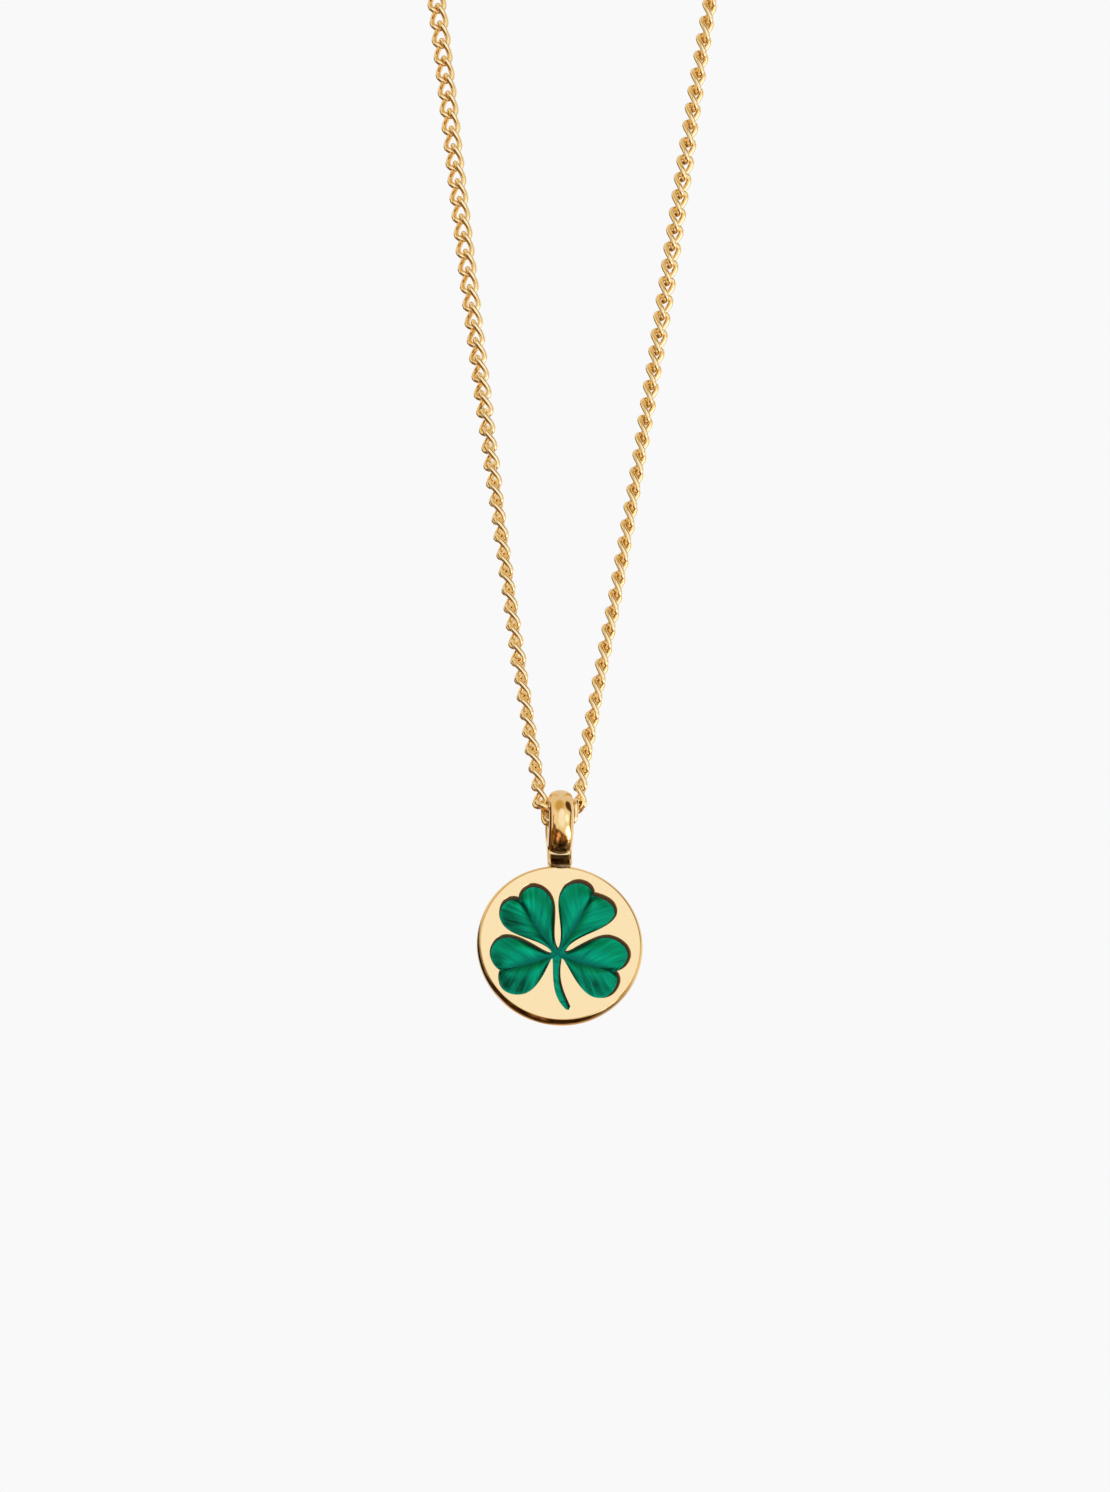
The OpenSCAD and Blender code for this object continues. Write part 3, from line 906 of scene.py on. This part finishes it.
# Heights over the recess's floor: at the hub, along the midrib and the edge, the dome of each lobe, the
# stem's middle over its edge, and the gap kept under the enamel
HUB_HEIGHT = 0.2
MIDRIB_HEIGHT = 0.12
EDGE_HEIGHT = 0.15
DOME = 0.2
STEM_RISE = 0.03
FLOOR_GAP = 0.005
# How the veins lean: the power by which their roots crowd towards the hub
VEIN_LEAN = 1.25
# Where, as shares of the way from hub to notch, the midrib sinks, the edge sinks, the dome ends, the edge
# meets the notch, and the painted shade sets in
MIDRIB_SINKS = (0.03, 0.3)
EDGE_SINKS = (0.0, 0.15)
DOME_ENDS = (0.86, 1.0)
EDGE_ENDS = (0.9, 1.0)
DARK_FROM = (0.15, 0.5)
# The dome across a lobe: the length of vein that has it in full, how far its top lies to the midrib, and how
# sharp it is
DOME_LENGTH = 1.5
DOME_OFFSET = 0.8
DOME_SHARPNESS = 1.4
# The side of the lobes where shade is painted into the enamel, how nearly a vein has to point there, and
# where along the vein the painted shade sets in and ends
DARK_WAY = np.array([-0.62, -0.78])
DARK_AIM = (0.0, 0.5)
DARK_SETS_IN, DARK_ENDS = (0.25, 0.65), (0.9, 0.99)
# The stem: the rows over which it comes down from the hub, and how far its streaks move on from row to row
STEM_OPENING = (0, 6)
STEM_STREAK = 0.3


def lobe_patch(leaf, side, foot):
    """Veins from hub to notch, each point as (x, y, height, place along midrib, distance from it, shade)."""
    end = notch_point(leaf, -ENAMEL_GAP)
    edge = np.vstack([leaf_side(leaf, side, foot, -ENAMEL_GAP), end])
    rows = []
    for k, rim in enumerate(edge):
        s = 1 - (1 - k / (len(edge) - 1)) ** VEIN_LEAN
        root = HUB + (end - HUB) * s
        length = np.linalg.norm(rim - root)
        open_up = smoothstep(*MIDRIB_SINKS, s)
        aim = (rim - root) @ DARK_WAY / max(length, TINY)
        # the lobes' sides that face the lower left get painted shade
        dark = smoothstep(*DARK_AIM, aim) * smoothstep(*DARK_FROM, s)
        swell = DOME * open_up * (1 - smoothstep(*DOME_ENDS, s)) * min(length / DOME_LENGTH, 1)
        middle = HUB_HEIGHT + (MIDRIB_HEIGHT - HUB_HEIGHT) * open_up
        border = HUB_HEIGHT + (EDGE_HEIGHT - HUB_HEIGHT) * smoothstep(*EDGE_SINKS, s)
        border += (MIDRIB_HEIGHT - border) * smoothstep(*EDGE_ENDS, s)
        for t in np.linspace(0, 1, VEIN_STEPS + 1):
            x, y = root + (rim - root) * t
            dome = swell * math.sin(math.pi * t ** DOME_OFFSET) ** DOME_SHARPNESS
            shade = dark * smoothstep(*DARK_SETS_IN, t) * (1 - smoothstep(*DARK_ENDS, t))
            height = middle + (border - middle) * t + dome
            rows.append((x, y, height, s * leaf[1] + leaf[0], t * length, shade))
    return np.array(rows)


def stem_patches():
    """The stem's two halves, as rows from its middle line to its edge, with the same columns."""
    left, tip, right = stem_sides(-ENAMEL_GAP)
    half_tip = TIP_STEPS // 2
    left = np.vstack([left, tip[:half_tip + 1]])
    right = np.vstack([tip[half_tip:], right, crotch(0, -ENAMEL_GAP)])[::-1]
    middle = (left + right) / 2
    middle[0] = HUB
    halves = []
    for edge in (left, right):
        rows = []
        for k, (root, rim) in enumerate(zip(middle, edge)):
            open_up = smoothstep(*STEM_OPENING, k)
            top = HUB_HEIGHT + (EDGE_HEIGHT + STEM_RISE - HUB_HEIGHT) * open_up
            border = HUB_HEIGHT + (EDGE_HEIGHT - HUB_HEIGHT) * open_up
            for t in np.linspace(0, 1, VEIN_STEPS + 1):
                x, y = root + (rim - root) * t
                rows.append((x, y, top + (border - top) * t * t, STEM_STREAK * k, 1.0, 0.0))
        halves.append(np.array(rows))
    return halves


def enamel_piece(material):
    """The enamel's lobes and stem as one closed body over the recess's floor."""
    patches = stem_patches()
    for i, leaf in enumerate(LEAVES):
        patches.append(lobe_patch(leaf, -1, crotch(i, -ENAMEL_GAP)))
        patches.append(lobe_patch(leaf, 1, crotch(i + 1, -ENAMEL_GAP)))
    build = bmesh.new()
    veins = build.loops.layers.uv.new("veins")
    shade = build.verts.layers.float.new("shade")
    for rows in patches:
        verts = [build.verts.new(p) for p in on_face(rows[:, :2], RECESS_DEPTH - rows[:, 2]) * MM]
        for vert, row in zip(verts, rows):
            vert[shade] = row[5]
        for quad in grid_faces(len(rows) // (VEIN_STEPS + 1), VEIN_STEPS + 1):
            face = build.faces.new([verts[k] for k in quad])
            for loop, k in zip(face.loops, quad):
                loop[veins].uv = rows[k, 3:5]
    bmesh.ops.remove_doubles(build, verts=build.verts, dist=WELD * MM)
    # a skirt from the edge down to the recess's floor, closed below
    edge = [e for e in build.edges if e.is_boundary]
    skirt = bmesh.ops.extrude_edge_only(build, edges=edge)["geom"]
    for item in skirt:
        if isinstance(item, bmesh.types.BMVert):
            item.co.y = (FACE_Y + RECESS_DEPTH - FLOOR_GAP) * MM
    bmesh.ops.triangle_fill(build, edges=[e for e in build.edges if e.is_boundary], use_beauty=True)
    bmesh.ops.recalc_face_normals(build, faces=build.faces)
    mesh = built_mesh("clover_leaf_enamel", build)
    return make_piece(mesh, "pendant", material, sharp_angle=50)


# Camera, light and floor

# The photograph's frame: its size in pixels, the width that it shows at the pendant, where the bail's middle
# lies in it, and the way back from the pendant to the camera
PHOTO_W, PHOTO_H = 1110, 1492
PHOTO_WIDTH_MM = 93.6
BAIL_PIXEL = (559.7, 823.5)
CAMERA_AZIMUTH, CAMERA_ELEVATION = -5.0, -19.5
CAMERA_DISTANCE = 2000.0
SENSOR = 36
# The nearest and furthest that the camera sees, and the floor's radius and height, in metres
NEAREST, FURTHEST = 0.05, 50
FLOOR_RADIUS, FLOOR_HEIGHT = 0.45, -0.5
FLOOR_SIDES = 96

# The room that the gold mirrors, in linear light
WHITE = (1.0, 1.0, 1.0)
CREAM = (0.90, 0.78, 0.58)
WARM_GOLD = (0.86, 0.64, 0.32)
MUSTARD = (0.58, 0.38, 0.12)
ORANGE = (0.95, 0.44, 0.21)
SAND = (0.79, 0.67, 0.55)
PALE = (0.92, 0.86, 0.78)
BROWN = (0.08, 0.035, 0.012)
UMBER = (0.42, 0.19, 0.05)
COPPER = (0.76, 0.46, 0.24)
BRIGHT = (1.6, 1.6, 1.6)
WINDOW = (2.4, 2.4, 2.4)
BACKDROP = (0.947, 0.947, 0.947)
# The room's tones from its lowest point to its highest, on the camera's side and on the far side
FRONT_TONES = [(0.0, WARM_GOLD), (0.3, CREAM), (0.5, CREAM), (0.72, CREAM), (0.8, WARM_GOLD),
               (0.92, WARM_GOLD), (0.98, SAND)]
BACK_TONES = [(0.0, WARM_GOLD), (0.33, COPPER), (0.42, COPPER), (0.47, PALE), (0.62, PALE), (0.85, SAND)]
# Soft round spots, painted one over another: (azimuth, elevation, inner and outer angle, share, colour)
SPOTS = [
    (-12, 46, 12, 32, 0.95, MUSTARD),
    (5, 16, 12, 22, 1.0, WHITE),
    (5, -6, 17, 26, 0.8, WHITE),
    (12, -19, 8, 16, 0.7, WHITE),
    (40, 2, 2, 18, 0.55, BRIGHT),
    (58, 43, 13, 20, 1.0, BROWN),
    (66, 32, 6, 13, 1.0, BROWN),
]
# More spots, without share and colour: the dark room behind at the left, the dark spot at the front left,
# the windows at the lower right, and the glow on the floor
DARK_BEHIND = (-126, 4, 22, 30)
DARK_LEFT = (-50, -24, 6, 16)
WINDOWS = [(58, -34, 8, 17), (86, -38, 6, 15)]
GLOW = [(-20, -58, 1, 12), (-50, -68, 1, 12), (-105, -74, 1, 12), (-145, -66, 1, 12)]
GLOW_SHARE = 1.9
# The clouds' scale, detail and roughness, and how they turn the dark from brown to umber
CLOUDS = (5.0, 3.0, 0.6)
UMBER_CLOUDS = (0.4, 0.7)
# The other forms. A way is (azimuth, elevation), a band (low, high, softness), and other pairs are where a
# form sets in and is full, by height or by the cosine of the angle from ahead, the right or the form's way.
FRONT_HALF = (-0.25, 0.35)
SIDE_BAND, SIDE_TOP, SIDE_STRENGTH = (0.86, 1.2, 0.08), (0.4, 0.6), 0.8
LINE_BAND, LINE_HEIGHT, LINE_AHEAD = (0.85, 0.92, 0.03), (-0.4, 0.5, 0.08), (-0.05, 0.1)
FLOOR_WAY, FLOOR_EDGE, FLOOR_RAGGED = (-120, -66), (0.44, 0.56), 0.35
FINGER_WAY, FINGER_BAND = (-146, 13), (-0.12, 0.09, 0.05)
FINGER_HEIGHT, FINGER_RIGHT = (-0.6, 0.24, 0.06), (-0.5, -0.6)


def way_to(azimuth, elevation):
    a, e = math.radians(azimuth), math.radians(elevation)
    return Vector((math.sin(a) * math.cos(e), -math.cos(a) * math.cos(e), math.sin(e)))


def photo_camera():
    back = way_to(CAMERA_AZIMUTH, CAMERA_ELEVATION)
    data = bpy.data.cameras.new("photo_camera")
    camera = linked_object(data)
    data.sensor_width = SENSOR
    data.lens = SENSOR * CAMERA_DISTANCE / (PHOTO_WIDTH_MM * PHOTO_H / PHOTO_W)
    data.clip_start = NEAREST
    data.clip_end = FURTHEST
    camera.rotation_mode = "QUATERNION"
    camera.rotation_quaternion = (-back).to_track_quat("-Z", "Y")
    right, up = [camera.rotation_quaternion @ Vector(axis) for axis in ((1, 0, 0), (0, 1, 0))]
    pixel = PHOTO_WIDTH_MM / PHOTO_W
    bail = Vector((0, FRONT_Y, BAIL_Z))
    aim = bail - right * (BAIL_PIXEL[0] - PHOTO_W / 2) * pixel + up * (BAIL_PIXEL[1] - PHOTO_H / 2) * pixel
    camera.location = (aim + back * CAMERA_DISTANCE) * MM
    bpy.context.scene.camera = camera


def studio_world():
    """A pale backdrop for the camera, and a room of windows and dark corners for all that mirrors."""
    world = bpy.data.worlds.new("studio")
    bpy.context.scene.world = world
    world.use_nodes = True
    tree = world.node_tree
    tree.nodes.clear()
    way = node(tree, "ShaderNodeTexCoord").outputs["Generated"]
    height = node(tree, "ShaderNodeSeparateXYZ", {0: way}).outputs["Z"]

    def share_of(azimuth, elevation):
        """The cosine of the angle from a place in the room, whose azimuth counts from the camera."""
        inputs = {0: way, 1: way_to(CAMERA_AZIMUTH + azimuth, elevation)}
        return node(tree, "ShaderNodeVectorMath", inputs, operation="DOT_PRODUCT").outputs["Value"]

    def cone(azimuth, elevation, inner, outer):
        """1 within the inner angle of a place in the room, 0 outside the outer one."""
        limits = [math.cos(math.radians(angle)) for angle in (outer, inner)]
        return climb(share_of(azimuth, elevation), *limits)

    def band(value, low, high, soft):
        """1 between low and high, with soft ends."""
        start = climb(value, low - soft, low + soft)
        return times(start, climb(value, high - soft, high + soft, 1.0, 0.0))

    def paint(share, colour):
        nonlocal around
        around = blend(share, around, colour)

    cloud = noise(way, *CLOUDS)
    dark = blend(climb(cloud, *UMBER_CLOUDS), BROWN, UMBER)
    ahead = share_of(0, 0)
    right = share_of(90, 0)
    level = plus(times(height, 0.5), 0.5)
    front, behind = ramp(level, FRONT_TONES), ramp(level, BACK_TONES)
    around = blend(climb(ahead, *FRONT_HALF), behind, front)
    # the room's two sides are deeper, except high up
    aside = node(tree, "ShaderNodeMath", {0: right}, operation="ABSOLUTE").outputs[0]
    sides = times(band(aside, *SIDE_BAND), climb(height, *SIDE_TOP, SIDE_STRENGTH, 0.0))
    paint(sides, WARM_GOLD)
    for *spot, share, colour in SPOTS:
        paint(times(cone(*spot), share), colour)
    # a thin dark upright line at the far right, which the bail's right edge mirrors
    line = times(band(right, *LINE_BAND), band(height, *LINE_HEIGHT))
    paint(times(line, climb(ahead, *LINE_AHEAD)), BROWN)
    paint(cone(*DARK_BEHIND), BROWN)
    # the dark floor, with a ragged edge, and the finger in which it reaches up at the front left
    floor = plus(share_of(*FLOOR_WAY), times(plus(cloud, -0.5), FLOOR_RAGGED))
    paint(climb(floor, *FLOOR_EDGE), dark)
    finger = times(band(share_of(*FINGER_WAY), *FINGER_BAND), band(height, *FINGER_HEIGHT))
    paint(times(finger, climb(right, *FINGER_RIGHT)), dark)
    paint(cone(*DARK_LEFT), dark)
    for place in WINDOWS:
        paint(cone(*place), WINDOW)
    for place in GLOW:
        paint(times(cone(*place), times(cloud, GLOW_SHARE)), ORANGE)
    room = node(tree, "ShaderNodeBackground", {"Color": around}).outputs[0]
    paper = node(tree, "ShaderNodeBackground", {"Color": (*BACKDROP, 1)}).outputs[0]
    seen = node(tree, "ShaderNodeLightPath").outputs["Is Camera Ray"]
    mixed = node(tree, "ShaderNodeMixShader", {0: seen, 1: room, 2: paper}).outputs[0]
    node(tree, "ShaderNodeOutputWorld", {"Surface": mixed})


def studio_floor():
    """A round pale floor, far below the pendant and outside the photograph's view."""
    build = bmesh.new()
    bmesh.ops.create_circle(build, cap_ends=True, segments=FLOOR_SIDES, radius=FLOOR_RADIUS)
    mesh = built_mesh("studio_floor", build)
    floor = linked_object(mesh)
    floor.location = (0, FRONT_Y * MM, FLOOR_HEIGHT)
    material, _, shader = new_material("pale_paper")
    fill_in(shader, {"Base Color": (*PAPER, 1)})
    mesh.materials.append(material)
    floor.visible_glossy = False


photo_camera()
bpy.context.scene.view_settings.view_transform = "Standard"
studio_world()
studio_floor()

POLISH = polish_group()
plain_gold = gold_material("polished_gold", *MEDALLION_GOLD)[0]

chain = curb_chain(chain_material())
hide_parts("chain")
medallion = medallion_piece(medallion_material())
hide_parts("medallion")
enamel = enamel_piece(enamel_material())
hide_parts("clover_enamel")
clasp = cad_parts["clasp"]
clasp.data.materials.clear()
clasp.data.materials.append(plain_gold)
